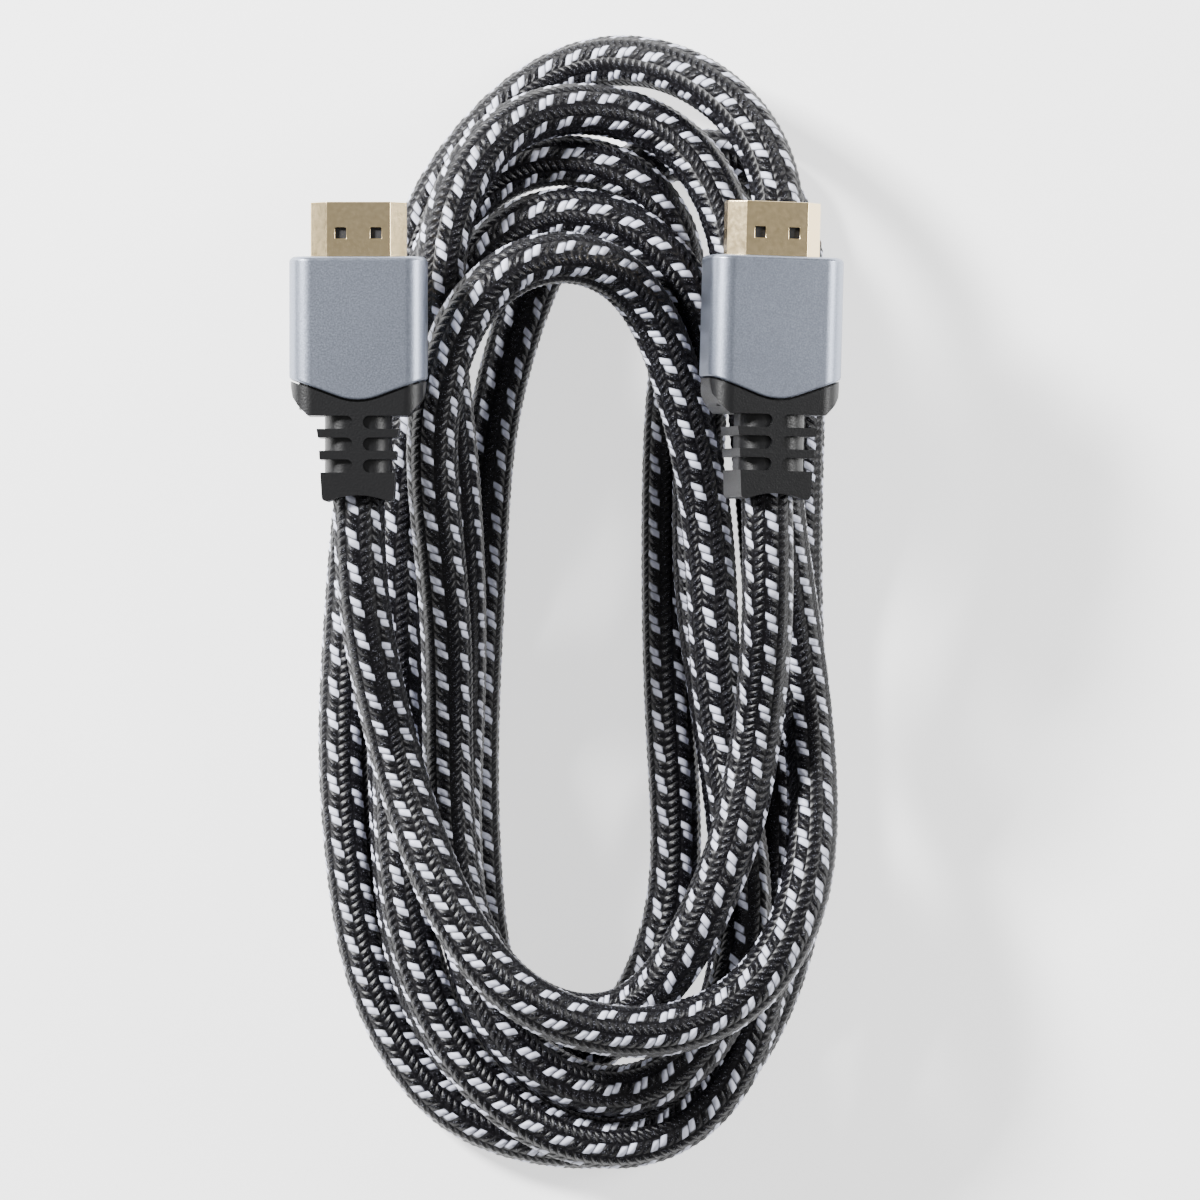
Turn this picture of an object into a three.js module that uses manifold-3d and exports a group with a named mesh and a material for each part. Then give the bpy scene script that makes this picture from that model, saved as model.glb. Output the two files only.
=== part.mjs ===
// An HDMI cable lying in a loose pile of loops, with its two plugs on top of the pile.
// Millimetres, +Z up. The origin is on the table, under the middle of the pile.
import * as THREE from 'three';
import { mergeVertices } from 'three/addons/utils/BufferGeometryUtils.js';
import Module from 'manifold-3d';

const wasm = await Module();
wasm.setup();

// Cable
const CABLE_DIAMETER = 7.5;
const CABLE_SIDES = 10;
const TUBE_STEP = 7.5;

// Clearances
const PIECE_GAP = 0.3;
const STRAND_GAP = 0.5;

// How the route is sampled, and how the cable drapes over what lies under it
const SAMPLE_STEP = 2.5;
const PLAN_SMOOTHING_PASSES = 14;
const HEIGHT_SMOOTHING_PASSES = 8;
const SAG_RADIUS = 50;
const SAG_REACH = 60;
const SETTLE_ROUNDS = 30;
const AHEAD_MARGIN = 2;

// Plug shell
const SHELL_WIDTH = 13.9;
const SHELL_HEIGHT = 4.45;
const SHELL_NARROW_WIDTH = 9.2;
const SHELL_SIDE_HEIGHT = 2.3;
const SHELL_WALL = 0.4;
const SHELL_REACH = 8;
const SHELL_TAIL = 4;
const LATCH_HOLE_SIDE = 1.6;
const LATCH_HOLE_SPACING = 5.1;
const LATCH_HOLE_SETBACK = 3.5;

// Contact block
const BLOCK_RECESS = 0.6;
const SLOT_WIDTH = 10.4;
const SLOT_HEIGHT = 1.3;
const SLOT_DEPTH = 6;

// Housing
const HOUSING_WIDTH = 19.9;
const HOUSING_THICKNESS = 11;
const HOUSING_SIDE_LENGTH = 17;
const HOUSING_TIP_LENGTH = 20.7;
const HOUSING_WALL = 1.1;
const TIP_ROUNDING = 3;
const HOUSING_CORNER_RADIUS = 3.2;
const HOUSING_RIM_BEVEL = 0.6;
const FRONT_WALL = 1.5;

// Strain relief, measured back from the housing's rear tip
const RELIEF_INSET = 0.2;
const RELIEF_THICKNESS = 10.6;
const RELIEF_LENGTH = 14.6;
const SHOULDER_LENGTH = 1.6;
const SHOULDER_CURVE = 3.8;
const NECK_SETBACK = 5.8;
const NECK_WIDTH = 11.3;
const RELIEF_END_WIDTH = 10.4;
const GROOVE_PAIRS = 3;
const FIRST_GROOVE_SETBACK = 3.2;
const GROOVE_PITCH = 3.15;
const GROOVE_LENGTH = 1.9;
const GROOVE_DEPTH = 0.8;
const SPINE_WIDTH = 1.5;
const END_CORNER = 0.8;
const MOUTH_ARCH = 0.9;
const CABLE_TUCK = 1.3;

// Brings the middle of the pile to the origin
const PILE_SHIFT = [-0.3, -0.6];

// Where the plugs lie: the middle of each housing's front face, its turn and its roll
const PLUGS = [
  { name: 'left', x: -29.9, y: 49.9, yaw: 0, roll: 0 },
  { name: 'right', x: 30.2, y: 50.3, yaw: THREE.MathUtils.degToRad(-1.5), roll: THREE.MathUtils.degToRad(13) },
];

// The route from the left plug to the right one, seen from above. Where two strands cross,
// the one with the higher layer lies on top.
const STRANDS = [
  // Down the left side, on top of the pile, round the bottom and up the right side
  { layer: 26, points: [[-30, 8.5], [-29, -3], [-26.5, -16], [-23.5, -27.5], [-18.5, -41.5], [-13, -52]] },
  { layer: 25, points: [[-7, -58], [1.5, -62], [11, -63.5], [20, -62], [27, -58], [33, -50]] },
  { layer: 23, points: [[36, -40], [36.5, -27.5], [35, -10], [32, 8], [30.5, 22.5], [30.5, 37.5], [31.5, 53]] },
  // The outer loop over the top, then down the left edge
  { layer: 22.5, points: [[32, 61], [29, 69], [22.5, 76.5], [15, 80.5]] },
  { layer: 0, points: [[7, 82], [0, 80.5], [-7, 76], [-14, 69], [-20, 60.5]] },
  { layer: 1, points: [[-24, 50], [-27.5, 35], [-31, 16.5], [-32.5, -2.5], [-33.5, -21.5], [-32, -41.5], [-29.5, -56.5]] },
  { layer: 2, points: [[-25, -66], [-18.5, -75.5], [-9.5, -79.5], [-1, -81], [8, -81.5], [16, -78.5], [23.5, -72],
    [29.5, -62.5]] },
  { layer: 3, points: [[34, -49.5], [36, -35], [35.5, -20], [34.5, -2.5], [34.5, 15], [35, 33], [35.5, 47]] },
  // The second loop, down the inner left and round the inner bottom
  { layer: 4, points: [[34.5, 55.5], [31.5, 63.5], [25.5, 68], [17.5, 68], [9.5, 65.5], [2, 60.5], [-3.5, 52]] },
  { layer: 5, points: [[-8.5, 38], [-11.5, 25.5], [-12.5, 9.5], [-13.5, -8.5], [-14, -24.5], [-13.5, -40],
    [-12, -55.5]] },
  { layer: 6, points: [[-9.5, -63], [-4.5, -69], [1, -70], [6.5, -66.5], [11.5, -58.5]] },
  { layer: 7, points: [[16, -46.5], [16.5, -34], [15.5, -18.5], [15, -1], [15, 16.5], [15.5, 31.5], [17, 42]] },
  // The third loop
  { layer: 8, points: [[18, 51.5], [15.5, 58], [10.5, 64], [3.5, 66.5], [-4.5, 66.5], [-12, 63.5]] },
  { layer: 9, points: [[-17, 58], [-21, 48.5], [-24.5, 34.5], [-26.5, 18], [-26.5, 0.5], [-26, -17.5], [-25.5, -36.5],
    [-24, -51]] },
  { layer: 10, points: [[-20, -63], [-13.5, -71], [-4, -75.5], [6.5, -76], [14.5, -74], [21, -66.5]] },
  { layer: 11, points: [[25, -56], [25.5, -41.5], [24, -27.5], [21.5, -11.5], [19.5, 3.5], [19.5, 19.5], [20.5, 34.5]] },
  // The fourth loop
  { layer: 12, points: [[19.5, 45.5], [14.5, 52.5], [8, 57.5], [0.5, 59], [-7, 57.5], [-12.5, 53]] },
  { layer: 13, points: [[-17, 45.5], [-21, 34.5], [-24, 22.5], [-25.5, 8], [-25, -10], [-25, -29], [-24, -45]] },
  { layer: 14, points: [[-21, -56.5], [-16.5, -66.5], [-9, -74.5], [0.5, -80], [11, -81], [19.5, -77], [26, -68]] },
  { layer: 15, points: [[30, -54], [31.5, -38.5], [31, -20], [30, 0.5], [28, 24], [26.5, 41]] },
  // The fifth loop
  { layer: 16, points: [[24.5, 56], [21, 65], [15, 71], [6.5, 73.5], [-2.5, 74], [-10.5, 70], [-16, 62],
    [-19, 50]] },
  { layer: 17, points: [[-18.5, 37.5], [-17, 25.5], [-16, 12], [-15.5, -4], [-16, -20], [-16.5, -35], [-14.5, -52]] },
  { layer: 18, points: [[-10, -63.5], [-3, -70], [6.5, -73.5], [15, -71.5], [21.5, -64.5]] },
  { layer: 19, points: [[26, -54], [27, -42], [24.5, -27.5], [22, -11.5], [21.5, 5], [20, 19], [17.5, 29]] },
  // The innermost arc, then down, round and up to the right plug
  { layer: 20, points: [[14, 41], [8.5, 49.5], [1.5, 52], [-7, 50.5], [-13.5, 45.5]] },
  { layer: 21, points: [[-18, 35.5], [-20, 25.5], [-19, 12], [-17.5, -2.5], [-17.5, -18.5], [-17, -36.5]] },
  { layer: 22, points: [[-14.5, -49.5], [-8.5, -57.5], [0.5, -62], [8.5, -62.5], [14.5, -56.5]] },
  { layer: 24, points: [[20.5, -45.5], [25.5, -33.5], [28, -19.5], [29.5, -4], [29.5, 6.5]] },
];

const cableRadius = CABLE_DIAMETER / 2;
const reliefWidth = HOUSING_WIDTH - 2 * RELIEF_INSET;
const reliefEnd = HOUSING_TIP_LENGTH + RELIEF_LENGTH;
// A strand this far beside a plug's edge would still touch it.
const besideMargin = cableRadius + PIECE_GAP;
const cableEndSetback = HOUSING_TIP_LENGTH + CABLE_TUCK + PIECE_GAP;

const materials = {
  braid: new THREE.MeshStandardMaterial({ color: 0x1d1b22, roughness: 0.6, metalness: 0 }),
  gilt: new THREE.MeshStandardMaterial({ color: 0xd9bd8c, roughness: 0.3, metalness: 1 }),
  insert: new THREE.MeshStandardMaterial({ color: 0x16161a, roughness: 0.6, metalness: 0 }),
  aluminium: new THREE.MeshStandardMaterial({ color: 0x9299a8, roughness: 0.4, metalness: 1 }),
  moulding: new THREE.MeshStandardMaterial({ color: 0x18181b, roughness: 0.55, metalness: 0 }),
};

// The route

// A point of a plug's own frame, seen from above: across, and forward from the front face.
function plugPoint(plug, across, forward) {
  const cos = Math.cos(plug.yaw);
  const sin = Math.sin(plug.yaw);
  return [plug.x + across * cos - forward * sin, plug.y + across * sin + forward * cos];
}

// The whole chain of route points, from the cable's end in one plug to its end in the other.
function routePoints() {
  const [first, last] = PLUGS;
  const chain = [
    { at: plugPoint(first, 0, -cableEndSetback), layer: STRANDS[0].layer },
    { at: plugPoint(first, 0, -reliefEnd), layer: STRANDS[0].layer },
  ];
  for (const strand of STRANDS) {
    for (const at of strand.points) chain.push({ at, layer: strand.layer });
  }
  const lastLayer = STRANDS[STRANDS.length - 1].layer;
  chain.push({ at: plugPoint(last, 0, -reliefEnd), layer: lastLayer });
  chain.push({ at: plugPoint(last, 0, -cableEndSetback), layer: lastLayer });
  return chain;
}

// Evenly spaced samples along a smooth curve through the route points, still flat.
function sampleRoute(chain) {
  const curve = new THREE.CatmullRomCurve3(chain.map(({ at }) => new THREE.Vector3(at[0], at[1], 0)));
  curve.arcLengthDivisions = chain.length * 20;
  const count = Math.round(curve.getLength() / SAMPLE_STEP);
  const samples = [];
  for (let i = 0; i <= count; i += 1) {
    const t = curve.getUtoTmapping(i / count);
    const point = curve.getPoint(t);
    const nearest = Math.round(t * (chain.length - 1));
    samples.push({ x: point.x, y: point.y, layer: chain[nearest].layer });
  }
  return samples;
}

// How many samples at each end lie inside a strain relief and so stay straight.
const heldSamples = Math.round((reliefEnd - cableEndSetback) / SAMPLE_STEP) + 1;

// One pass of averaging with the neighbours, which leaves the held ends as they are.
function averageOnce(values) {
  return values.map((value, i) => {
    if (i < heldSamples || i >= values.length - heldSamples) return value;
    return (values[i - 1] + 2 * value + values[i + 1]) / 4;
  });
}

function smooth(values, passes) {
  let result = values;
  for (let pass = 0; pass < passes; pass += 1) result = averageOnce(result);
  return result;
}

// Every pair of samples whose strands touch seen from above: the lower, the upper and the lift.
function crossings(samples) {
  const reach = CABLE_DIAMETER + STRAND_GAP;
  const apart = Math.ceil((2 * reach) / SAMPLE_STEP);
  const pairs = [];
  for (let i = 0; i < samples.length; i += 1) {
    for (let j = i + apart; j < samples.length; j += 1) {
      const distance = Math.hypot(samples[i].x - samples[j].x, samples[i].y - samples[j].y);
      if (distance >= reach) continue;
      const lift = Math.sqrt(reach * reach - distance * distance);
      const firstIsUpper = samples[i].layer > samples[j].layer;
      pairs.push(firstIsUpper ? { lower: j, upper: i, lift } : { lower: i, upper: j, lift });
    }
  }
  return pairs;
}

// The height of a plug's axis when it rests on the strands under it.
function plugHeight(plug, samples, heights) {
  let height = HOUSING_THICKNESS / 2;
  const isLeft = plug === PLUGS[0];
  for (let i = 0; i < samples.length; i += 1) {
    const fromEnd = isLeft ? i : samples.length - 1 - i;
    if (fromEnd < 3 * heldSamples) continue;
    const dx = samples[i].x - plug.x;
    const dy = samples[i].y - plug.y;
    const across = dx * Math.cos(plug.yaw) + dy * Math.sin(plug.yaw);
    const forward = dy * Math.cos(plug.yaw) - dx * Math.sin(plug.yaw);
    const aside = Math.abs(across) - besideMargin;
    const isBesideHousing = forward <= AHEAD_MARGIN && forward > -HOUSING_TIP_LENGTH;
    const isBesideRelief = forward <= 0 && forward > -reliefEnd;
    const isBesideShell = forward > AHEAD_MARGIN && forward < SHELL_REACH + AHEAD_MARGIN;
    const isUnderHousing = isBesideHousing && aside < HOUSING_WIDTH / 2;
    const isUnderRelief = isBesideRelief && aside < NECK_WIDTH / 2;
    const isUnderShell = isBesideShell && aside < SHELL_WIDTH / 2;
    if (!isUnderHousing && !isUnderRelief && !isUnderShell) continue;
    const halfThickness = (isUnderShell ? SHELL_HEIGHT : HOUSING_THICKNESS) / 2;
    const underside = halfThickness / Math.cos(plug.roll) + across * Math.tan(plug.roll);
    height = Math.max(height, heights[i] + cableRadius + PIECE_GAP + underside);
  }
  return height;
}

// The cable sags away from each point that holds it up, down to the table at most.
function drape(needed) {
  const reach = Math.round(SAG_REACH / SAMPLE_STEP);
  return needed.map((own, i) => {
    let height = own;
    for (let j = Math.max(0, i - reach); j <= Math.min(needed.length - 1, i + reach); j += 1) {
      const along = (i - j) * SAMPLE_STEP;
      height = Math.max(height, needed[j] - (along * along) / (2 * SAG_RADIUS));
    }
    return height;
  });
}

// Lays every strand on the table or on what lies under it, and each plug on its strands.
function settle(samples) {
  const pairs = crossings(samples);
  let heights = samples.map(() => cableRadius);
  let plugHeights = PLUGS.map(() => 0);
  for (let round = 0; round < SETTLE_ROUNDS; round += 1) {
    const needed = samples.map(() => cableRadius);
    for (const { lower, upper, lift } of pairs) needed[upper] = Math.max(needed[upper], heights[lower] + lift);
    plugHeights = PLUGS.map((plug) => plugHeight(plug, samples, heights));
    for (let i = 0; i < heldSamples; i += 1) {
      needed[i] = plugHeights[0];
      needed[samples.length - 1 - i] = plugHeights[1];
    }
    const draped = drape(needed);
    for (let i = 0; i < heldSamples; i += 1) {
      draped[i] = plugHeights[0];
      draped[samples.length - 1 - i] = plugHeights[1];
    }
    heights = smooth(draped, HEIGHT_SMOOTHING_PASSES);
  }
  return { heights, plugHeights };
}

// Solids and meshes

function toSolid(geometry) {
  const bare = geometry.index ? geometry.toNonIndexed() : geometry.clone();
  bare.deleteAttribute('normal');
  bare.deleteAttribute('uv');
  const merged = mergeVertices(bare, 1e-4);
  return new wasm.Manifold(new wasm.Mesh({
    numProp: 3,
    vertProperties: new Float32Array(merged.attributes.position.array),
    triVerts: new Uint32Array(merged.index.array),
  }));
}

function toGeometry(solid) {
  const { vertProperties, triVerts } = solid.getMesh();
  const geometry = new THREE.BufferGeometry();
  geometry.setAttribute('position', new THREE.BufferAttribute(new Float32Array(vertProperties), 3));
  geometry.setIndex(new THREE.BufferAttribute(new Uint32Array(triVerts), 1));
  geometry.computeVertexNormals();
  return geometry;
}

// A cross-section, drawn across and up, drawn out backwards from one place on the plug's axis.
function alongPlug(shape, front, length, bevel = 0) {
  const geometry = new THREE.ExtrudeGeometry(shape, {
    depth: length - 2 * bevel,
    curveSegments: 5,
    bevelEnabled: bevel > 0,
    bevelThickness: bevel,
    bevelSize: bevel,
    bevelOffset: -bevel,
    bevelSegments: 2,
  });
  geometry.translate(0, 0, bevel);
  geometry.rotateX(Math.PI / 2);
  geometry.translate(0, front, 0);
  return toSolid(geometry);
}

// An outline, drawn across and forward, given a thickness centred on the plug's axis.
function throughPlug(shape, thickness) {
  const geometry = new THREE.ExtrudeGeometry(shape, { depth: thickness, curveSegments: 6, bevelEnabled: false });
  geometry.translate(0, 0, -thickness / 2);
  return toSolid(geometry);
}

// The plug's section: a wide lower face, short upright sides, and a narrow upper face.
function shellSection(grow) {
  const lean = Math.atan2((SHELL_WIDTH - SHELL_NARROW_WIDTH) / 2, SHELL_HEIGHT - SHELL_SIDE_HEIGHT);
  const halfWidth = SHELL_WIDTH / 2 + grow;
  const bottom = -SHELL_HEIGHT / 2 - grow;
  const top = SHELL_HEIGHT / 2 + grow;
  const shoulder = -SHELL_HEIGHT / 2 + SHELL_SIDE_HEIGHT + grow * Math.tan(lean / 2);
  const halfNarrow = SHELL_NARROW_WIDTH / 2 + grow * Math.tan((Math.PI / 2 - lean) / 2);
  const shape = new THREE.Shape();
  shape.moveTo(-halfWidth, bottom);
  shape.lineTo(halfWidth, bottom);
  shape.lineTo(halfWidth, shoulder);
  shape.lineTo(halfNarrow, top);
  shape.lineTo(-halfNarrow, top);
  shape.lineTo(-halfWidth, shoulder);
  shape.closePath();
  return shape;
}

function roundedSection(width, height, radius) {
  const x = width / 2 - radius;
  const z = height / 2 - radius;
  const shape = new THREE.Shape();
  shape.absarc(x, z, radius, 0, Math.PI / 2);
  shape.absarc(-x, z, radius, Math.PI / 2, Math.PI);
  shape.absarc(-x, -z, radius, Math.PI, 1.5 * Math.PI);
  shape.absarc(x, -z, radius, 1.5 * Math.PI, 2 * Math.PI);
  shape.closePath();
  return shape;
}

function rectangle(left, right, rear, front) {
  const shape = new THREE.Shape();
  shape.moveTo(left, rear);
  shape.lineTo(right, rear);
  shape.lineTo(right, front);
  shape.lineTo(left, front);
  shape.closePath();
  return shape;
}

// The pieces of one plug

function makeShell() {
  const outer = alongPlug(shellSection(0), SHELL_REACH, SHELL_REACH + SHELL_TAIL);
  const inner = alongPlug(shellSection(-SHELL_WALL), SHELL_REACH + 1, SHELL_REACH + SHELL_TAIL + 2);
  let shell = outer.subtract(inner);
  for (const side of [-1, 1]) {
    const middle = (side * LATCH_HOLE_SPACING) / 2;
    const half = LATCH_HOLE_SIDE / 2;
    const hole = rectangle(middle - half, middle + half, LATCH_HOLE_SETBACK - half, LATCH_HOLE_SETBACK + half);
    shell = shell.subtract(throughPlug(hole, 2 * SHELL_HEIGHT));
  }
  return shell;
}

function makeContactBlock() {
  const front = SHELL_REACH - BLOCK_RECESS;
  const block = alongPlug(shellSection(-SHELL_WALL - PIECE_GAP), front, front + SHELL_TAIL);
  const slotShape = rectangle(-SLOT_WIDTH / 2, SLOT_WIDTH / 2, -SLOT_HEIGHT / 2, SLOT_HEIGHT / 2);
  return block.subtract(alongPlug(slotShape, front + 1, SLOT_DEPTH + 1));
}

// What lies behind the housing's pointed rear edge, set back by a clearance.
function behindRearEdge(clearance) {
  const half = HOUSING_WIDTH;
  const slope = (HOUSING_TIP_LENGTH - HOUSING_SIDE_LENGTH) / (HOUSING_WIDTH / 2);
  const tip = -HOUSING_TIP_LENGTH - clearance - (slope * TIP_ROUNDING) / 2;
  const tangent = tip + slope * TIP_ROUNDING;
  const shape = new THREE.Shape();
  shape.moveTo(-half, tip + slope * half);
  shape.lineTo(-half, -2 * reliefEnd);
  shape.lineTo(half, -2 * reliefEnd);
  shape.lineTo(half, tip + slope * half);
  shape.lineTo(TIP_ROUNDING, tangent);
  shape.quadraticCurveTo(0, tip, -TIP_ROUNDING, tangent);
  shape.closePath();
  return throughPlug(shape, 2 * HOUSING_THICKNESS);
}

function makeHousing() {
  const outline = roundedSection(HOUSING_WIDTH, HOUSING_THICKNESS, HOUSING_CORNER_RADIUS);
  const cavity = roundedSection(
    HOUSING_WIDTH - 2 * HOUSING_WALL,
    HOUSING_THICKNESS - 2 * HOUSING_WALL,
    HOUSING_CORNER_RADIUS - HOUSING_WALL,
  );
  const blank = alongPlug(outline, 0, HOUSING_TIP_LENGTH + 2, HOUSING_RIM_BEVEL);
  return blank
    .subtract(alongPlug(cavity, -FRONT_WALL, HOUSING_TIP_LENGTH + 2))
    .subtract(alongPlug(shellSection(PIECE_GAP), 1, FRONT_WALL + 2))
    .subtract(behindRearEdge(0));
}

// The moulding's plan: shoulders that narrow to a neck, and a rounded end.
function reliefOutline() {
  const front = -HOUSING_SIDE_LENGTH;
  const shoulder = front - SHOULDER_LENGTH;
  const curve = shoulder - SHOULDER_CURVE;
  const neck = -HOUSING_TIP_LENGTH - NECK_SETBACK;
  const [wide, narrow, end] = [reliefWidth / 2, NECK_WIDTH / 2, RELIEF_END_WIDTH / 2];
  const shape = new THREE.Shape();
  shape.moveTo(wide, front);
  shape.lineTo(-wide, front);
  shape.lineTo(-wide, shoulder);
  shape.bezierCurveTo(-wide, curve, -narrow, curve, -narrow, neck);
  shape.lineTo(-end, -reliefEnd + END_CORNER);
  shape.quadraticCurveTo(-end, -reliefEnd, END_CORNER - end, -reliefEnd);
  shape.quadraticCurveTo(0, -reliefEnd + 2 * MOUTH_ARCH, end - END_CORNER, -reliefEnd);
  shape.quadraticCurveTo(end, -reliefEnd, end, -reliefEnd + END_CORNER);
  shape.lineTo(narrow, neck);
  shape.bezierCurveTo(narrow, curve, wide, curve, wide, shoulder);
  shape.closePath();
  return shape;
}

// One groove, from its round inner end beside the spine out past the side.
function grooveOutline(side, middle) {
  const half = GROOVE_LENGTH / 2;
  const inner = SPINE_WIDTH / 2 + half;
  const outer = HOUSING_WIDTH;
  const shape = new THREE.Shape();
  shape.moveTo(side * outer, middle - half);
  shape.lineTo(side * outer, middle + half);
  shape.lineTo(side * inner, middle + half);
  shape.absarc(side * inner, middle, half, Math.PI / 2, -Math.PI / 2, side < 0);
  shape.closePath();
  return shape;
}

function makeStrainRelief() {
  const section = roundedSection(reliefWidth, RELIEF_THICKNESS, HOUSING_CORNER_RADIUS);
  const body = throughPlug(reliefOutline(), RELIEF_THICKNESS)
    .intersect(alongPlug(section, 0, reliefEnd + 1))
    .intersect(behindRearEdge(PIECE_GAP));
  const coreInset = 2 * (HOUSING_WALL + PIECE_GAP);
  const coreSection = roundedSection(
    HOUSING_WIDTH - coreInset,
    HOUSING_THICKNESS - coreInset,
    HOUSING_CORNER_RADIUS - HOUSING_WALL - PIECE_GAP,
  );
  const coreFront = -SHELL_TAIL - PIECE_GAP;
  const coreRear = -HOUSING_TIP_LENGTH - CABLE_TUCK;
  const sleeveSection = roundedSection(
    NECK_WIDTH - 2 * GROOVE_DEPTH,
    RELIEF_THICKNESS - 2 * GROOVE_DEPTH,
    HOUSING_CORNER_RADIUS,
  );
  const sleeveFront = -HOUSING_TIP_LENGTH - PIECE_GAP;
  const sleeve = alongPlug(sleeveSection, sleeveFront, reliefEnd + sleeveFront - 1 - MOUTH_ARCH);
  const boreShape = new THREE.Shape();
  boreShape.absarc(0, 0, cableRadius + PIECE_GAP, 0, 2 * Math.PI);
  const bore = alongPlug(boreShape, -HOUSING_TIP_LENGTH - CABLE_TUCK, RELIEF_LENGTH + 2);
  let grooved = body;
  for (let pair = 0; pair < GROOVE_PAIRS; pair += 1) {
    const middle = -HOUSING_TIP_LENGTH - FIRST_GROOVE_SETBACK - pair * GROOVE_PITCH;
    for (const side of [-1, 1]) {
      grooved = grooved.subtract(throughPlug(grooveOutline(side, middle), 2 * HOUSING_THICKNESS));
    }
  }
  const core = alongPlug(coreSection, coreFront, coreFront - coreRear);
  return grooved.add(sleeve).add(core).subtract(bore);
}

function makeMesh(name, geometry, material) {
  const mesh = new THREE.Mesh(geometry, material);
  mesh.name = name;
  return mesh;
}

function makePlug(plug, height) {
  const group = new THREE.Group();
  group.add(makeMesh(`${plug.name}_plug_shell`, toGeometry(makeShell()), materials.gilt));
  group.add(makeMesh(`${plug.name}_contact_block`, toGeometry(makeContactBlock()), materials.insert));
  group.add(makeMesh(`${plug.name}_housing`, toGeometry(makeHousing()), materials.aluminium));
  group.add(makeMesh(`${plug.name}_strain_relief`, toGeometry(makeStrainRelief()), materials.moulding));
  group.position.set(plug.x, plug.y, height);
  group.rotation.set(0, plug.roll, plug.yaw, 'ZYX');
  return group;
}

// The cable

function makeCable(samples, heights) {
  const stride = Math.round(TUBE_STEP / SAMPLE_STEP);
  const last = samples.length - 1;
  const path = [];
  for (let i = 0; i < last - stride / 2; i += stride) {
    path.push(new THREE.Vector3(samples[i].x, samples[i].y, heights[i]));
  }
  path.push(new THREE.Vector3(samples[last].x, samples[last].y, heights[last]));
  const curve = new THREE.CatmullRomCurve3(path);
  curve.arcLengthDivisions = path.length * 10;
  const section = new THREE.Shape();
  for (let side = 0; side < CABLE_SIDES; side += 1) {
    const angle = (2 * Math.PI * side) / CABLE_SIDES;
    const x = cableRadius * Math.cos(angle);
    const y = cableRadius * Math.sin(angle);
    if (side === 0) section.moveTo(x, y);
    else section.lineTo(x, y);
  }
  section.closePath();
  return new THREE.ExtrudeGeometry(section, { steps: path.length - 1, extrudePath: curve, bevelEnabled: false });
}

const flat = sampleRoute(routePoints());
const xs = smooth(flat.map(({ x }) => x), PLAN_SMOOTHING_PASSES);
const ys = smooth(flat.map(({ y }) => y), PLAN_SMOOTHING_PASSES);
const route = flat.map(({ layer }, i) => ({ x: xs[i], y: ys[i], layer }));
const { heights, plugHeights } = settle(route);

const cable = new THREE.Group();
cable.name = 'hdmi_cable';
cable.add(makeMesh('braided_cable', makeCable(route, heights), materials.braid));
PLUGS.forEach((plug, i) => cable.add(makePlug(plug, plugHeights[i])));
cable.position.set(PILE_SHIFT[0], PILE_SHIFT[1], 0);

export default cable;
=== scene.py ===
"""The looks of an HDMI cable that lies in a loose pile, with its two plugs on top."""

import logging
import math
from dataclasses import dataclass, field
from enum import Enum

import bmesh
import bpy
import numpy as np
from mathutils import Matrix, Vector


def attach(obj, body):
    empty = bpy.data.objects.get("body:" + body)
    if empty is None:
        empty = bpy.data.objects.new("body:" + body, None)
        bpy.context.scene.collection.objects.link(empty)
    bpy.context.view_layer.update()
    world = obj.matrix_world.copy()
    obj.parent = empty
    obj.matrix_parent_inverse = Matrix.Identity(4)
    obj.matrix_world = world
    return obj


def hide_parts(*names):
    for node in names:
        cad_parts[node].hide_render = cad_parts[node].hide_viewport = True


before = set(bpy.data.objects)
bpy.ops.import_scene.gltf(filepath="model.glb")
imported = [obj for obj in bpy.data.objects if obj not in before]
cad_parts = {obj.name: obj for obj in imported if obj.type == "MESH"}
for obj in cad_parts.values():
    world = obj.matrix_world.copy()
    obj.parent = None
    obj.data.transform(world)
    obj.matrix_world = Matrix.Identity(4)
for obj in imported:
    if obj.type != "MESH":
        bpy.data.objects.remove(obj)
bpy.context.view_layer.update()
LOG = logging.getLogger("hdmi_cable")

# Sizes in millimetres, as in the solid model
MM = 0.001
CABLE_DIAMETER = 7.5
PIECE_GAP = 0.3
STRAND_GAP = 0.5
SAMPLE_STEP = 2.5
PLAN_SMOOTHING_PASSES = 14
HEIGHT_SMOOTHING_PASSES = 8
SAG_RADIUS = 50
SAG_REACH = 60
SETTLE_ROUNDS = 30
AHEAD_MARGIN = 2
SHELL_WIDTH = 13.9
SHELL_HEIGHT = 4.45
SHELL_REACH = 8
HOUSING_WIDTH = 19.9
HOUSING_THICKNESS = 11
HOUSING_TIP_LENGTH = 20.7
NECK_WIDTH = 11.3
RELIEF_LENGTH = 14.6
CABLE_TUCK = 1.3
RELIEF_END = HOUSING_TIP_LENGTH + RELIEF_LENGTH
CABLE_END_SETBACK = HOUSING_TIP_LENGTH + CABLE_TUCK + PIECE_GAP
HELD_SAMPLES = round((RELIEF_END - CABLE_END_SETBACK) / SAMPLE_STEP) + 1
LINE_SMOOTHING_PASSES = 30
PILE_SHIFT = (-0.3, -0.6)
CURVE_STEPS = 60
ENDS_LEFT_OUT = 3

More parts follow.
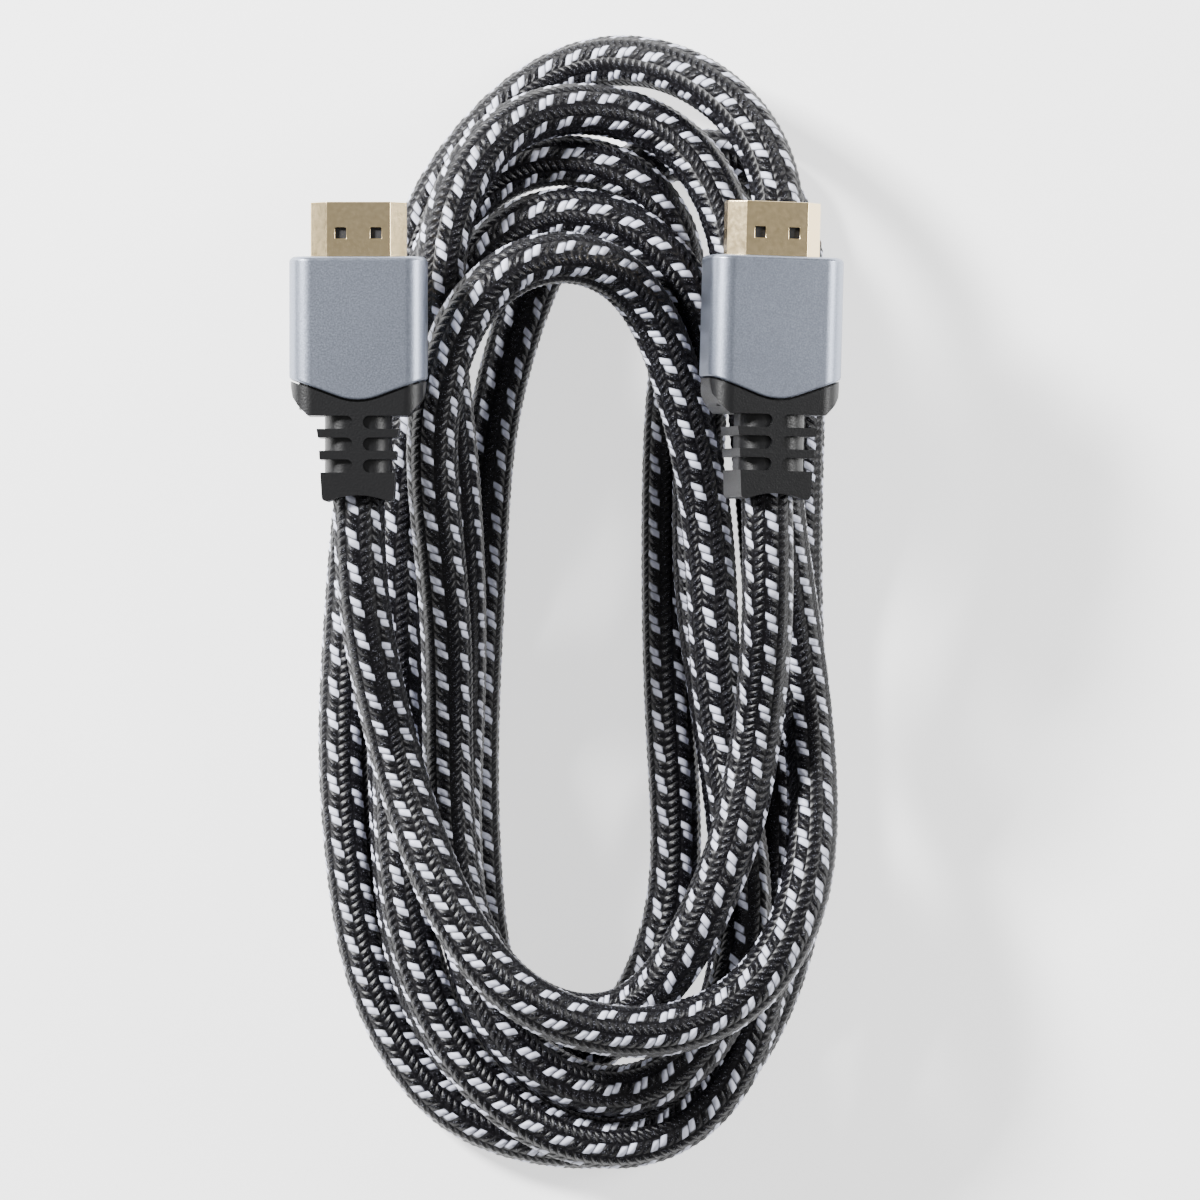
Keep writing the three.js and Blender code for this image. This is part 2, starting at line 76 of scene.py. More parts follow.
# The route from the left plug to the right one, seen from above: each strand's layer and points
STRANDS = (
    # Down the left side, on top of the pile, round the bottom and up the right side
    (26, ((-30, 8.5), (-29, -3), (-26.5, -16), (-23.5, -27.5), (-18.5, -41.5), (-13, -52))),
    (25, ((-7, -58), (1.5, -62), (11, -63.5), (20, -62), (27, -58), (33, -50))),
    (23, ((36, -40), (36.5, -27.5), (35, -10), (32, 8), (30.5, 22.5), (30.5, 37.5), (31.5, 53))),
    # The outer loop over the top, then down the left edge
    (22.5, ((32, 61), (29, 69), (22.5, 76.5), (15, 80.5))),
    (0, ((7, 82), (0, 80.5), (-7, 76), (-14, 69), (-20, 60.5))),
    (1, ((-24, 50), (-27.5, 35), (-31, 16.5), (-32.5, -2.5), (-33.5, -21.5), (-32, -41.5),
         (-29.5, -56.5))),
    (2, ((-25, -66), (-18.5, -75.5), (-9.5, -79.5), (-1, -81), (8, -81.5), (16, -78.5), (23.5, -72),
         (29.5, -62.5))),
    (3, ((34, -49.5), (36, -35), (35.5, -20), (34.5, -2.5), (34.5, 15), (35, 33), (35.5, 47))),
    # The second loop, down the inner left and round the inner bottom
    (4, ((34.5, 55.5), (31.5, 63.5), (25.5, 68), (17.5, 68), (9.5, 65.5), (2, 60.5), (-3.5, 52))),
    (5, ((-8.5, 38), (-11.5, 25.5), (-12.5, 9.5), (-13.5, -8.5), (-14, -24.5), (-13.5, -40),
         (-12, -55.5))),
    (6, ((-9.5, -63), (-4.5, -69), (1, -70), (6.5, -66.5), (11.5, -58.5))),
    (7, ((16, -46.5), (16.5, -34), (15.5, -18.5), (15, -1), (15, 16.5), (15.5, 31.5), (17, 42))),
    # The third loop
    (8, ((18, 51.5), (15.5, 58), (10.5, 64), (3.5, 66.5), (-4.5, 66.5), (-12, 63.5))),
    (9, ((-17, 58), (-21, 48.5), (-24.5, 34.5), (-26.5, 18), (-26.5, 0.5), (-26, -17.5),
         (-25.5, -36.5), (-24, -51))),
    (10, ((-20, -63), (-13.5, -71), (-4, -75.5), (6.5, -76), (14.5, -74), (21, -66.5))),
    (11, ((25, -56), (25.5, -41.5), (24, -27.5), (21.5, -11.5), (19.5, 3.5), (19.5, 19.5),
         (20.5, 34.5))),
    # The fourth loop
    (12, ((19.5, 45.5), (14.5, 52.5), (8, 57.5), (0.5, 59), (-7, 57.5), (-12.5, 53))),
    (13, ((-17, 45.5), (-21, 34.5), (-24, 22.5), (-25.5, 8), (-25, -10), (-25, -29), (-24, -45))),
    (14, ((-21, -56.5), (-16.5, -66.5), (-9, -74.5), (0.5, -80), (11, -81), (19.5, -77), (26, -68))),
    (15, ((30, -54), (31.5, -38.5), (31, -20), (30, 0.5), (28, 24), (26.5, 41))),
    # The fifth loop
    (16, ((24.5, 56), (21, 65), (15, 71), (6.5, 73.5), (-2.5, 74), (-10.5, 70), (-16, 62), (-19, 50))),
    (17, ((-18.5, 37.5), (-17, 25.5), (-16, 12), (-15.5, -4), (-16, -20), (-16.5, -35), (-14.5, -52))),
    (18, ((-10, -63.5), (-3, -70), (6.5, -73.5), (15, -71.5), (21.5, -64.5))),
    (19, ((26, -54), (27, -42), (24.5, -27.5), (22, -11.5), (21.5, 5), (20, 19), (17.5, 29))),
    # The innermost arc, then down, round and up to the right plug
    (20, ((14, 41), (8.5, 49.5), (1.5, 52), (-7, 50.5), (-13.5, 45.5))),
    (21, ((-18, 35.5), (-20, 25.5), (-19, 12), (-17.5, -2.5), (-17.5, -18.5), (-17, -36.5))),
    (22, ((-14.5, -49.5), (-8.5, -57.5), (0.5, -62), (8.5, -62.5), (14.5, -56.5))),
    (24, ((20.5, -45.5), (25.5, -33.5), (28, -19.5), (29.5, -4), (29.5, 6.5))),
)


class Gloss(Enum):
    """How a surface throws light back."""

    MATTE = 0.62
    SATIN = 0.38
    BRIGHT = 0.22


@dataclass(frozen=True)
class Finish:
    """One moulded or metal finish, with fine grain in its roughness and bump.

    Its scales are in cells per metre, and its depth is in metres.
    """

    name: str
    slot: str
    color: tuple[float, float, float]
    gloss: Gloss
    metallic: float = 0.0
    grain_scale: float = 2500.0
    grain_depth: float = 0.00003
    speckle: float = 0.25
    lift: float = 2.4
    cloud_scale: float = 90.0
    cloud_share: float = 0.12
    gloss_spread: float = 0.16

    def material(self) -> bpy.types.Material:
        """Returns the finish as a node material on object coordinates."""
        board = NodeBoard(self.name)
        noise = board.add("ShaderNodeTexNoise", Scale=self.grain_scale, Detail=4.0)
        board.link(board.add("ShaderNodeTexCoord").outputs["Object"], noise.inputs["Vector"])
        cloud = board.add("ShaderNodeTexNoise", Scale=self.cloud_scale, Detail=2.0)
        board.link(board.add("ShaderNodeTexCoord").outputs["Object"], cloud.inputs["Vector"])
        centred = board.math("SUBTRACT", noise.outputs["Fac"], 0.5)
        sparkle = board.math("MULTIPLY", centred, self.speckle)
        haze = board.math("MULTIPLY", cloud.outputs["Fac"], self.cloud_share)
        shade = board.math("ADD", haze, sparkle)
        board.mix_color(shade, self.color, tuple(min(1.0, self.lift * c) for c in self.color))
        spread = board.math("MULTIPLY", noise.outputs["Fac"], self.gloss_spread)
        rough = board.math("ADD", spread, self.gloss.value - self.gloss_spread / 2)
        board.link(rough, board.shader.inputs["Roughness"])
        board.shader.inputs["Metallic"].default_value = self.metallic
        board.bump(noise.outputs["Fac"], self.grain_depth)
        return board.made


class NodeBoard:
    """A new material's nodes, with short ways to add and join them."""

    def __init__(self, name: str) -> None:
        """Starts a material that holds one Principled shader."""
        self.made = bpy.data.materials.new(name)
        self.made.use_nodes = True
        self.tree = self.made.node_tree
        self.shader = self.tree.nodes["Principled BSDF"]

    def add(self, kind: str, **inputs: float) -> bpy.types.Node:
        """Adds a node and sets its inputs.

        Args:
            kind: the node's type.
            **inputs: values by the name of the input.

        Returns:
            The new node.
        """
        node = self.tree.nodes.new(kind)
        for key, value in inputs.items():
            node.inputs[key].default_value = value
        return node

    def link(self, source: bpy.types.NodeSocket, target: bpy.types.NodeSocket) -> None:
        """Joins an output to an input."""
        self.tree.links.new(source, target)

    def math(self, operation: str, *terms: object) -> bpy.types.NodeSocket:
        """Adds a math node.

        Args:
            operation: what it does with its terms.
            *terms: its inputs in order, as sockets or numbers.

        Returns:
            The result's socket.
        """
        node = self.tree.nodes.new("ShaderNodeMath")
        node.operation = operation
        for socket, term in zip(node.inputs, terms):
            if isinstance(term, (int, float)):
                socket.default_value = term
            else:
                self.link(term, socket)
        return node.outputs[0]

    def mix_color(self, factor: bpy.types.NodeSocket, low: tuple, high: tuple) -> None:
        """Sends a blend of two colours to the shader's base colour.

        Args:
            factor: how far the blend is towards the second colour.
            low: the first colour.
            high: the second colour.
        """
        mix = self.tree.nodes.new("ShaderNodeMix")
        mix.data_type = "RGBA"
        self.link(factor, mix.inputs[0])
        mix.inputs[6].default_value = (*low, 1.0)
        mix.inputs[7].default_value = (*high, 1.0)
        self.link(mix.outputs[2], self.shader.inputs["Base Color"])

    def bump(self, height: bpy.types.NodeSocket, depth: float) -> None:
        """Raises the surface's shading.

        Args:
            height: the height, from 0 to 1.
            depth: how much a height of 1 is, in metres.
        """
        node = self.add("ShaderNodeBump", Distance=depth, Strength=1.0)
        self.link(height, node.inputs["Height"])
        self.link(node.outputs["Normal"], self.shader.inputs["Normal"])


@dataclass(frozen=True)
class TracerBraid:
    """Black braid in slanted stitches, with pale tracers in every second column.

    Lengths are in metres, widths are shares of a column, and scales are in cells per metre.
    """

    length: float
    columns: int = 12
    repeat: float = 0.00475
    stitch: float = 0.0011875
    stitch_depth: float = 0.00022
    slant: float = 0.8
    sway: float = 0.26
    tracer_width: float = 1.0
    tracer_share: float = 0.49
    tracer_fill: float = 2.4
    tracer_corner: float = 0.2
    wear_scale: float = 420.0
    wear: float = 0.9
    least_cover: float = 0.42
    # Painted glints on the black yarn: bright specks in its colour in place of highlights
    painted_glint_scale: float = 5200.0
    painted_glint_limit: float = 0.63
    painted_glint_light: float = 0.22
    roughness: float = 0.4
    specular: float = 0.25
    black: tuple[float, float, float] = (0.0018, 0.0015, 0.0025)
    pale: tuple[float, float, float] = (0.74, 0.76, 0.9)

    def material(self) -> bpy.types.Material:
        """Returns the braid as a node material on the cable's own UV map."""
        board = NodeBoard("tracer_braid")
        uv = board.add("ShaderNodeUVMap")
        uv.uv_map = "braid"
        split = board.add("ShaderNodeSeparateXYZ")
        board.link(uv.outputs["UV"], split.inputs[0])
        along = board.math("MULTIPLY", split.outputs["X"], self.length)
        around = board.math("MULTIPLY", split.outputs["Y"], float(self.columns))
        column = board.math("FLOOR", around)
        across = board.math("SUBTRACT", board.math("FRACT", around), 0.5)
        odd = board.math("MODULO", column, 2.0)

        # The stitches of neighbouring columns slant opposite ways
        side = board.math("SUBTRACT", board.math("MULTIPLY", odd, 2.0), 1.0)
        lean = board.math("MULTIPLY", across, board.math("MULTIPLY", side, self.slant))
        steps = board.math("ADD", board.math("DIVIDE", along, self.stitch), lean)
        ridge = board.math("SINE", board.math("MULTIPLY", board.math("FRACT", steps), math.pi))
        crown = board.math("COSINE", board.math("MULTIPLY", across, math.pi))
        body = board.math("MULTIPLY", ridge, crown)

        # Pale pairs of stitches, half a repeat further along in every other pale column
        pair = board.math("MODULO", board.math("MULTIPLY", column, 0.5), 2.0)
        stagger = board.math("MULTIPLY", pair, 0.5)
        count = board.math("FLOOR", steps)
        turns = board.math("DIVIDE", count, self.repeat / self.stitch)
        turn = board.math("FRACT", board.math("ADD", turns, stagger))
        is_pale = board.math("LESS_THAN", turn, self.tracer_share)
        is_tracer = board.math("MULTIPLY", is_pale, board.math("SUBTRACT", 1.0, odd))

        # The two stitches of a pair lie a little to either side
        swing = board.math("SUBTRACT", board.math("MODULO", count, 2.0), 0.5)
        off_middle = board.math("SUBTRACT", across, board.math("MULTIPLY", swing, self.sway))
        beside = board.math("MULTIPLY", off_middle, math.pi / self.tracer_width)
        profile = board.math("MULTIPLY", board.math("COSINE", beside), ridge)
        thread = board.math("MULTIPLY", board.math("MAXIMUM", profile, 0.0), self.tracer_fill)
        filled = board.math("SMOOTH_MIN", thread, 1.0, self.tracer_corner)

        # Some pale threads are more worn than others, and the black stitches get painted glints: random
        # bright specks on their crowns that stand in for highlights
        patch = self.noise(board, self.wear_scale, 1.0)
        cover = board.math("ADD", board.math("MULTIPLY", patch, self.wear), self.least_cover)
        full = board.math("MULTIPLY", filled, cover)
        lit = board.math("MINIMUM", board.math("MULTIPLY", is_tracer, full), 1.0)
        is_glint = board.math("GREATER_THAN", self.noise(board, self.painted_glint_scale, 2.0), self.painted_glint_limit)
        glint = board.math("MULTIPLY", is_glint, self.painted_glint_light)
        shade = board.math("MAXIMUM", lit, board.math("MULTIPLY", glint, body))
        board.mix_color(shade, self.black, self.pale)
        board.shader.inputs["Roughness"].default_value = self.roughness
        board.shader.inputs["Specular IOR Level"].default_value = self.specular
        board.bump(body, self.stitch_depth)
        return board.made

    def noise(self, board: NodeBoard, scale: float, detail: float) -> bpy.types.NodeSocket:
        """Adds a noise on object coordinates.

        Args:
            board: the material's board.
            scale: its cells per metre.
            detail: how many finer layers it has.

        Returns:
            The noise's value.
        """
        node = board.add("ShaderNodeTexNoise", Scale=scale, Detail=detail)
        board.link(board.add("ShaderNodeTexCoord").outputs["Object"], node.inputs["Vector"])
        return node.outputs["Fac"]


@dataclass
class CableRoute:
    """The cable's way through the pile: flat samples, then heights found by laying it down."""

    samples: np.ndarray = field(default_factory=lambda: np.zeros((0, 2)))
    layers: np.ndarray = field(default_factory=lambda: np.zeros(0))
    heights: np.ndarray = field(default_factory=lambda: np.zeros(0))

    def chain(self) -> tuple[np.ndarray, np.ndarray]:
        """Joins the plugs' ends and the strands.

        Returns:
            Every route point from plug to plug, and each point's layer.
        """
        left, right = PLUGS
        points = [left.point(-CABLE_END_SETBACK), left.point(-RELIEF_END)]
        layers = [STRANDS[0][0]] * 2
        for layer, strand in STRANDS:
            points.extend(strand)
            layers.extend([layer] * len(strand))
        points += [right.point(-RELIEF_END), right.point(-CABLE_END_SETBACK)]
        layers += [STRANDS[-1][0]] * 2
        return np.array(points, float), np.array(layers, float)

    def trace(self) -> None:
        """Samples a centripetal Catmull-Rom curve through the chain and smooths it."""
        points, layers = self.chain()
        ends = np.vstack([2 * points[0] - points[1], points, 2 * points[-1] - points[-2]])
        fine = []
        marks = []
        steps = np.linspace(0.0, 1.0, CURVE_STEPS, endpoint=False)[:, None]
        for i in range(len(points) - 1):
            p0, p1, p2, p3 = ends[i:i + 4]
            spans = ((p0, p1), (p1, p2), (p2, p3))
            d0, d1, d2 = (math.sqrt(np.linalg.norm(b - a)) for a, b in spans)
            t1 = ((p1 - p0) / d0 - (p2 - p0) / (d0 + d1) + (p2 - p1) / d1) * d1
            t2 = ((p2 - p1) / d1 - (p3 - p1) / (d1 + d2) + (p3 - p2) / d2) * d1
            cubic = (2 * p1 - 2 * p2 + t1 + t2) * steps ** 3
            square = (3 * p2 - 3 * p1 - 2 * t1 - t2) * steps ** 2
            fine.append(cubic + square + t1 * steps + p1)
            marks.append(i + steps[:, 0])
        fine = np.vstack([*fine, points[-1:]])
        marks = np.append(np.concatenate(marks), len(points) - 1)
        run = np.concatenate([[0.0], np.cumsum(np.linalg.norm(np.diff(fine, axis=0), axis=1))])
        even = np.linspace(0.0, run[-1], round(run[-1] / SAMPLE_STEP) + 1)
        flat = np.column_stack([np.interp(even, run, fine[:, k]) for k in range(2)])
        self.layers = layers[np.floor(np.interp(even, run, marks) + 0.5).astype(int)]
        self.samples = smooth(flat, PLAN_SMOOTHING_PASSES)

    def plug_height(self, plug: "PlugPlace", is_left: bool) -> float:
        """Finds the height at which a plug's axis rests on the strands under it.

        Args:
            plug: the plug's place.
            is_left: whether it is on the route's first end.

        Returns:
            The height in millimetres.
        """
        far = np.arange(len(self.samples)) if is_left else np.arange(len(self.samples))[::-1]
        offset = self.samples - (plug.x, plug.y)
        across = offset[:, 0] * math.cos(plug.yaw) + offset[:, 1] * math.sin(plug.yaw)
        forward = offset[:, 1] * math.cos(plug.yaw) - offset[:, 0] * math.sin(plug.yaw)
        aside = np.abs(across) - CABLE_DIAMETER / 2 - PIECE_GAP
        beside_housing = (forward <= AHEAD_MARGIN) & (forward > -HOUSING_TIP_LENGTH)
        beside_relief = (forward <= 0) & (forward > -RELIEF_END)
        beside_shell = (forward > AHEAD_MARGIN) & (forward < SHELL_REACH + AHEAD_MARGIN)
        housing = beside_housing & (aside < HOUSING_WIDTH / 2)
        relief = beside_relief & (aside < NECK_WIDTH / 2)
        shell = beside_shell & (aside < SHELL_WIDTH / 2)
        half = np.where(shell, SHELL_HEIGHT, HOUSING_THICKNESS) / 2
        under = half / math.cos(plug.roll) + across * math.tan(plug.roll)
        rest = self.heights + CABLE_DIAMETER / 2 + PIECE_GAP + under
        counted = (housing | relief | shell) & (far >= ENDS_LEFT_OUT * HELD_SAMPLES)
        return max(HOUSING_THICKNESS / 2, float(rest[counted].max(initial=0.0)))

    def settle(self) -> None:
        """Lays each strand on the table or on what lies under it."""
        count = len(self.samples)
        reach = CABLE_DIAMETER + STRAND_GAP
        gaps = np.linalg.norm(self.samples[:, None] - self.samples[None], axis=2)
        first, second = np.nonzero(np.triu(gaps < reach, math.ceil(2 * reach / SAMPLE_STEP)))
        lift = np.sqrt(reach ** 2 - gaps[first, second] ** 2)
        swap = self.layers[first] > self.layers[second]
        upper = np.where(swap, first, second)
        lower = np.where(swap, second, first)
        self.heights = np.full(count, CABLE_DIAMETER / 2)
        for _ in range(SETTLE_ROUNDS):
            needed = np.full(count, CABLE_DIAMETER / 2)
            np.maximum.at(needed, upper, self.heights[lower] + lift)
            ends = [self.plug_height(PLUGS[0], True), self.plug_height(PLUGS[1], False)]
            needed[:HELD_SAMPLES] = ends[0]
            needed[-HELD_SAMPLES:] = ends[1]
            draped = needed.copy()
            for k in range(1, round(SAG_REACH / SAMPLE_STEP) + 1):
                drop = (k * SAMPLE_STEP) ** 2 / (2 * SAG_RADIUS)
                draped[k:] = np.maximum(draped[k:], needed[:-k] - drop)
                draped[:-k] = np.maximum(draped[:-k], needed[k:] - drop)
            draped[:HELD_SAMPLES] = ends[0]
            draped[-HELD_SAMPLES:] = ends[1]
            self.heights = smooth(draped, HEIGHT_SMOOTHING_PASSES)

    def centreline(self, spacing: float) -> np.ndarray:
        """Samples the laid cable's centreline.

        Args:
            spacing: how far apart its points lie, in millimetres.

        Returns:
            The points in metres.
        """
        laid = np.column_stack([self.samples + PILE_SHIFT, self.heights])
        run = np.concatenate([[0.0], np.cumsum(np.linalg.norm(np.diff(laid, axis=0), axis=1))])
        even = np.linspace(0.0, run[-1], round(run[-1] / spacing) + 1)
        line = np.column_stack([np.interp(even, run, laid[:, k]) for k in range(3)])
        return smooth(line, LINE_SMOOTHING_PASSES) * MM


@dataclass(frozen=True)
class PlugPlace:
    """Where a plug lies: the middle of its housing's front face, its turn and its roll."""

    name: str
    x: float
    y: float
    yaw: float
    roll: float

    def point(self, forward: float) -> tuple[float, float]:
        """Returns a point of the plug's axis, seen from above, in millimetres."""
        return self.x - forward * math.sin(self.yaw), self.y + forward * math.cos(self.yaw)


PLUGS = (
    PlugPlace("left", -29.9, 49.9, 0.0, 0.0),
    PlugPlace("right", 30.2, 50.3, math.radians(-1.5), math.radians(13.0)),
)


def smooth(values: np.ndarray, passes: int) -> np.ndarray:
    """Averages values with their neighbours, and leaves the held ends as they are.

    Args:
        values: one row for each sample.
        passes: how often to average.

    Returns:
        The smoothed rows.
    """
    result = values.copy()
    for _ in range(passes):
        inner = (result[:-2] + 2 * result[1:-1] + result[2:]) / 4
        result[HELD_SAMPLES:-HELD_SAMPLES] = inner[HELD_SAMPLES - 1:len(inner) - HELD_SAMPLES + 1]
    return result


@dataclass
class BraidedCable:
    """The cable itself: a round tube with woven relief.

    The spacing of its rings is in millimetres, and the relief's depth is in metres.
    """

    sides: int = 24
    ring_spacing: float = 0.59
    relief: float = 0.00013
    path_stride: int = 8
    length: float = 0.0
    line: np.ndarray = field(default_factory=lambda: np.zeros((0, 3)))

    def build(self) -> bpy.types.Object:
        """Returns the tube, laid along the settled route."""
        route = CableRoute()
        route.trace()
        route.settle()
        line = route.centreline(self.ring_spacing)
        mesh = self.tube(line)
        cable = bpy.data.objects.new("braided_cable_skin", mesh)
        bpy.context.collection.objects.link(cable)
        length = float(np.linalg.norm(np.diff(line, axis=0), axis=1).sum())
        mesh.materials.append(TracerBraid(length).material())
        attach(cable, "root")
        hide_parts("braided_cable")
        self.line = line
        self.length = length
        LOG.info("cable of %.3f m", length)
        return cable

    def declare(self) -> None:
        """Lists the centreline's points, every path_stride-th one and the last, as a path that nothing
        uses.
        """
        path = [tuple(float(v) for v in point) for point in self.line[::self.path_stride]]
        path.append(tuple(float(v) for v in self.line[-1]))

    def tube(self, line: np.ndarray) -> bpy.types.Mesh:
        """Sweeps a ring along the line, with woven relief and UVs.

        Args:
            line: the centreline in metres.

        Returns:
            The tube's mesh.
        """
        curve = bpy.data.curves.new("cable_line", "CURVE")
        curve.dimensions = "3D"
        profile = bpy.data.curves.new("cable_ring", "CURVE")
        angles = np.arange(self.sides) * 2 * math.pi / self.sides
        unit_ring = np.column_stack([np.cos(angles), np.sin(angles), 0 * angles])
        circle = unit_ring * (CABLE_DIAMETER / 2 * MM)
        for data, points, is_closed in ((curve, line, False), (profile, circle, True)):
            spline = data.splines.new("POLY")
            spline.points.add(len(points) - 1)
            weighted = np.column_stack([points, np.ones(len(points))])
            spline.points.foreach_set("co", weighted.ravel())
            spline.use_cyclic_u = is_closed
        ring = bpy.data.objects.new("cable_ring", profile)
        curve.bevel_mode = "OBJECT"
        curve.bevel_object = ring
        holder = bpy.data.objects.new("cable_line", curve)
        bpy.context.collection.objects.link(ring)
        bpy.context.collection.objects.link(holder)
        evaluated = holder.evaluated_get(bpy.context.evaluated_depsgraph_get())
        swept = bpy.data.meshes.new_from_object(evaluated)
        for leftover in (holder, ring):
            bpy.data.objects.remove(leftover)
        self.weave(swept, line)
        return swept

    def weave(self, mesh: bpy.types.Mesh, line: np.ndarray) -> None:
        """Raises each stitch's middle, sinks its edges, and lays the UVs along and around.

        Args:
            mesh: the swept tube.
            line: its centreline in metres.
        """
        count = len(mesh.vertices)
        spots = np.empty(count * 3)
        mesh.vertices.foreach_get("co", spots)
        spots = spots.reshape(-1, 3)
        ring = np.arange(count) // self.sides
        turn = np.arange(count) % self.sides
        column_part = np.where(turn % 2 == 1, 0.5, -0.5)
        stitch_part = np.where((ring + turn // 2) % 2 == 0, 0.5, -0.5)
        crown = column_part + stitch_part
        middle = line[np.minimum(ring, len(line) - 1)]
        outward = spots - middle
        outward /= np.linalg.norm(outward, axis=1)[:, None]
        spots += outward * (crown * self.relief)[:, None]
        mesh.vertices.foreach_set("co", spots.ravel())
        uv = mesh.uv_layers.new(name="braid")
        corners = np.empty(len(mesh.loops), int)
        mesh.loops.foreach_get("vertex_index", corners)
        around = turn[corners].astype(float)
        quads = around.reshape(-1, 4)
        closes = (quads.max(axis=1) == self.sides - 1)[:, None]
        quads[closes & (quads == 0)] = self.sides
        spread = np.column_stack([ring[corners] / (len(line) - 1), quads.ravel() / self.sides])
        uv.data.foreach_set("uv", spread.ravel())
        form = bmesh.new()
        form.from_mesh(mesh)
        bmesh.ops.holes_fill(form, edges=[e for e in form.edges if e.is_boundary], sides=0)
        bmesh.ops.recalc_face_normals(form, faces=form.faces)
        form.to_mesh(mesh)
        form.free()
        mesh.shade_smooth()


@dataclass
class Plug:
    """One plug: the CAD pieces with softened edges and their finishes.

    Its roundings are in millimetres.
    """

    side: str
    shell_rounding: float = 0.12
    block_rounding: float = 0.08
    housing_rounding: float = 0.35
    relief_rounding: float = 0.45
    rounding_steps: int = 3
    merge_distance: float = 0.01
    flat_angle: float = math.radians(1.0)
    edge_angle: float = math.radians(28.0)
    sharp_angle: float = math.radians(30.0)

    def soften(self, node: str, finish: Finish, width: float) -> bpy.types.Object:
        """Copies a CAD node, rounds the copy's edges and lets it replace the node.

        Args:
            node: the CAD node's name.
            finish: what its surface is.
            width: how wide the rounding is, in millimetres.

        Returns:
            The copy.
        """
        source = bpy.data.objects[node]
        mesh = source.data.copy()
        piece = bpy.data.objects.new(f"{node}_dressed", mesh)
        bpy.context.collection.objects.link(piece)
        form = bmesh.new()
        form.from_mesh(mesh)
        bmesh.ops.remove_doubles(form, verts=form.verts, dist=self.merge_distance * MM)
        bmesh.ops.dissolve_limit(form, angle_limit=self.flat_angle, verts=form.verts, edges=form.edges)
        closed = [edge for edge in form.edges if edge.is_manifold]
        sharp = [edge for edge in closed if edge.calc_face_angle(0.0) > self.edge_angle]
        bmesh.ops.bevel(form, geom=sharp, offset=width * MM, affect="EDGES", profile=0.5,
                        segments=self.rounding_steps, material=-1, clamp_overlap=True)
        form.to_mesh(mesh)
        form.free()
        mesh.shade_smooth()
        mesh.set_sharp_from_angle(angle=self.sharp_angle)
        flatten = piece.modifiers.new("even_normals", "WEIGHTED_NORMAL")
        flatten.keep_sharp = True
        mesh.materials.clear()
        mesh.materials.append(finish.material())
        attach(piece, "root")
        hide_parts(node)
        LOG.info("%s dressed", node)
        return piece

    def build(self) -> list[bpy.types.Object]:
        """Returns the dressed shell, contact block, housing and strain relief."""
        return [
            self.soften(f"{self.side}_plug_shell", GILT, self.shell_rounding),
            self.soften(f"{self.side}_contact_block", INSERT, self.block_rounding),
            self.soften(f"{self.side}_housing", ANODISED, self.housing_rounding),
            self.soften(f"{self.side}_strain_relief", MOULDING, self.relief_rounding),
        ]


GILT = Finish(
    "gilt", "gilt", (0.95, 0.74, 0.40), Gloss.BRIGHT,
    metallic=1.0, grain_scale=1500.0, grain_depth=0.000004, speckle=0.03,
)
INSERT = Finish("insert_plastic", "insert", (0.01, 0.01, 0.012), Gloss.MATTE)
ANODISED = Finish(
    "anodised_housing", "housing", (0.30, 0.33, 0.40), Gloss.SATIN,
    metallic=1.0, grain_scale=4200.0, grain_depth=0.00001, speckle=0.55,
)
MOULDING = Finish(
    "boot_moulding", "moulding", (0.0015, 0.0015, 0.002), Gloss.SATIN,
    grain_scale=3600.0,
)


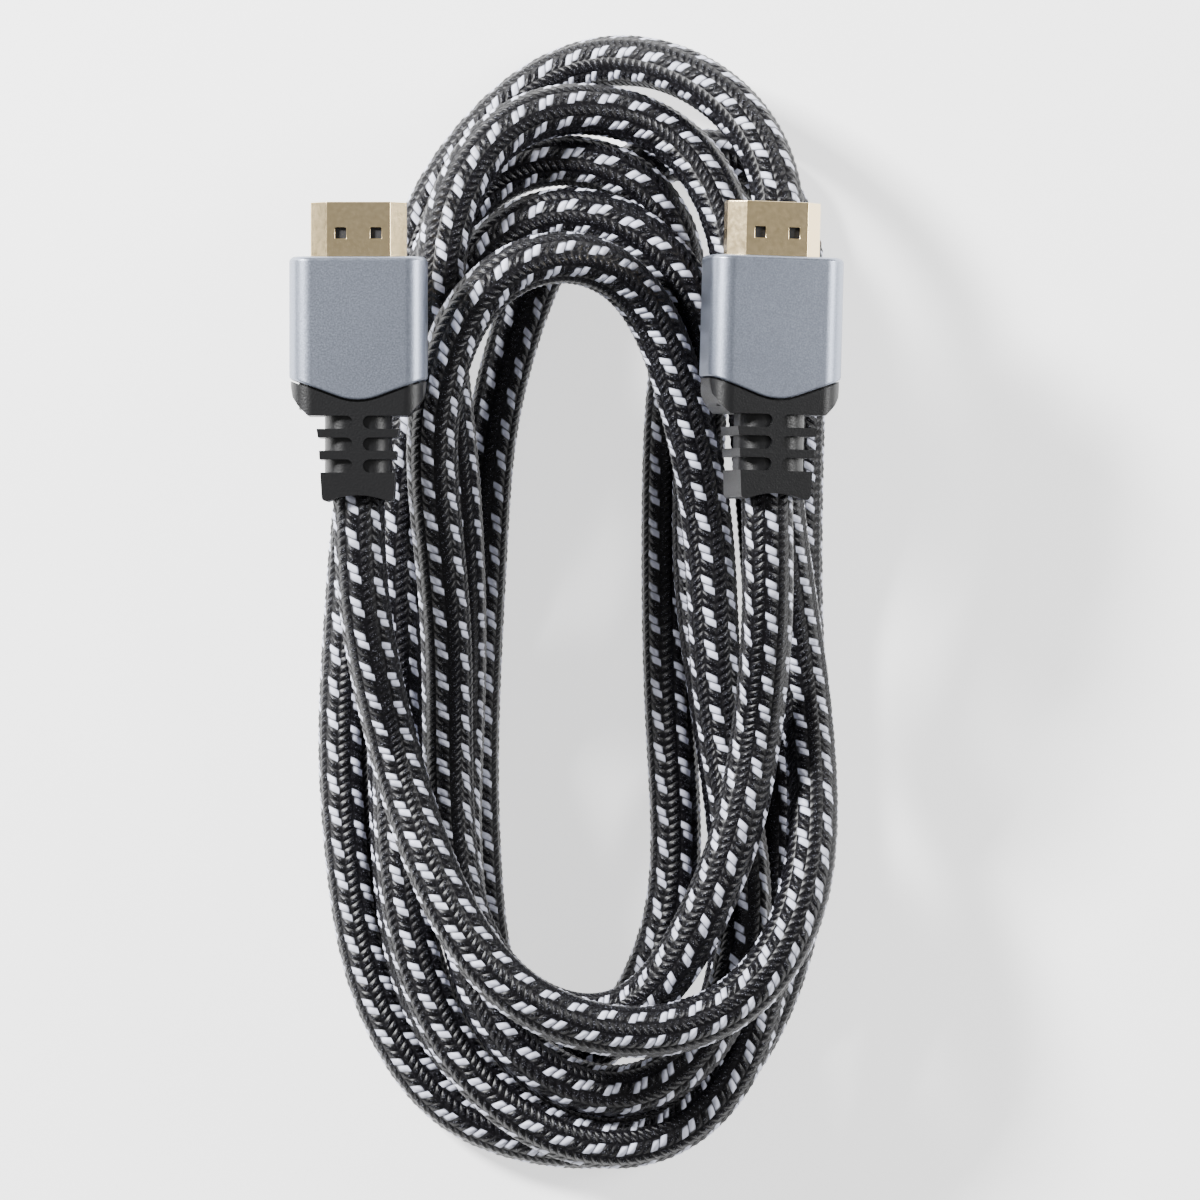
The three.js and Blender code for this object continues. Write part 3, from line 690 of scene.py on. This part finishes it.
@dataclass
class Studio:
    """The white ground, the soft lights and the camera straight above.

    Places and sizes are in metres, and the lamps' power is in watts.
    """

    camera_height: float = 1.2
    view_width: float = 0.177
    look_level: float = 0.02
    view_middle: tuple[float, float] = (0.0047, -0.0002)
    ground_reach: float = 3.0
    ground_shade: float = 0.9
    ground_roughness: float = 0.9
    ground_glow: float = 1.3
    sky_strength: float = 0.32
    key_place: tuple[float, float, float] = (-0.55, 0.4, 0.5)
    key_size: float = 0.16
    key_power: float = 26.0
    fill_place: tuple[float, float, float] = (0.6, 0.2, 0.35)
    fill_size: float = 0.3
    fill_power: float = 5.0

    def camera(self) -> None:
        """Places the camera over the pile."""
        data = bpy.data.cameras.new("camera")
        data.lens = data.sensor_width * (self.camera_height - self.look_level) / self.view_width
        camera = bpy.data.objects.new("camera", data)
        camera.location = (*self.view_middle, self.camera_height)
        bpy.context.collection.objects.link(camera)
        bpy.context.scene.camera = camera

    def light(self, name: str, place: tuple, size: float, power: float) -> None:
        """Adds one soft light that faces the pile.

        Args:
            name: the lamp's name.
            place: where it hangs.
            size: how wide its square is.
            power: how strong it is.
        """
        data = bpy.data.lights.new(name, "AREA")
        data.size = size
        data.energy = power
        lamp = bpy.data.objects.new(name, data)
        lamp.location = place
        lamp.rotation_euler = (-Vector(place)).to_track_quat("-Z", "Y").to_euler()
        bpy.context.collection.objects.link(lamp)

    def build(self) -> None:
        """Lays the ground and sets the lights."""
        form = bmesh.new()
        bmesh.ops.create_grid(form, x_segments=1, y_segments=1, size=self.ground_reach)
        mesh = bpy.data.meshes.new("ground")
        form.to_mesh(mesh)
        form.free()
        ground = bpy.data.objects.new("ground", mesh)
        bpy.context.collection.objects.link(ground)
        board = NodeBoard("white_ground")
        board.shader.inputs["Base Color"].default_value = (*[self.ground_shade] * 3, 1.0)
        board.shader.inputs["Roughness"].default_value = self.ground_roughness
        board.shader.inputs["Emission Color"].default_value = (1.0, 1.0, 1.0, 1.0)
        board.shader.inputs["Emission Strength"].default_value = self.ground_glow
        mesh.materials.append(board.made)
        world = bpy.data.worlds.new("soft_white")
        world.use_nodes = True
        sky = world.node_tree.nodes["Background"]
        sky.inputs["Strength"].default_value = self.sky_strength
        sky.inputs["Color"].default_value = (1.0, 1.0, 1.0, 1.0)
        bpy.context.scene.world = world
        self.light("key", self.key_place, self.key_size, self.key_power)
        self.light("fill", self.fill_place, self.fill_size, self.fill_power)


def main() -> None:
    """Builds the studio, the cable and both plugs."""
    studio = Studio()
    studio.camera()
    braided = BraidedCable()
    cable = braided.build()
    ends = [piece for place in PLUGS for piece in Plug(place.name).build()]
    braided.declare()
    studio.build()


if __name__ == "__main__":
    main()
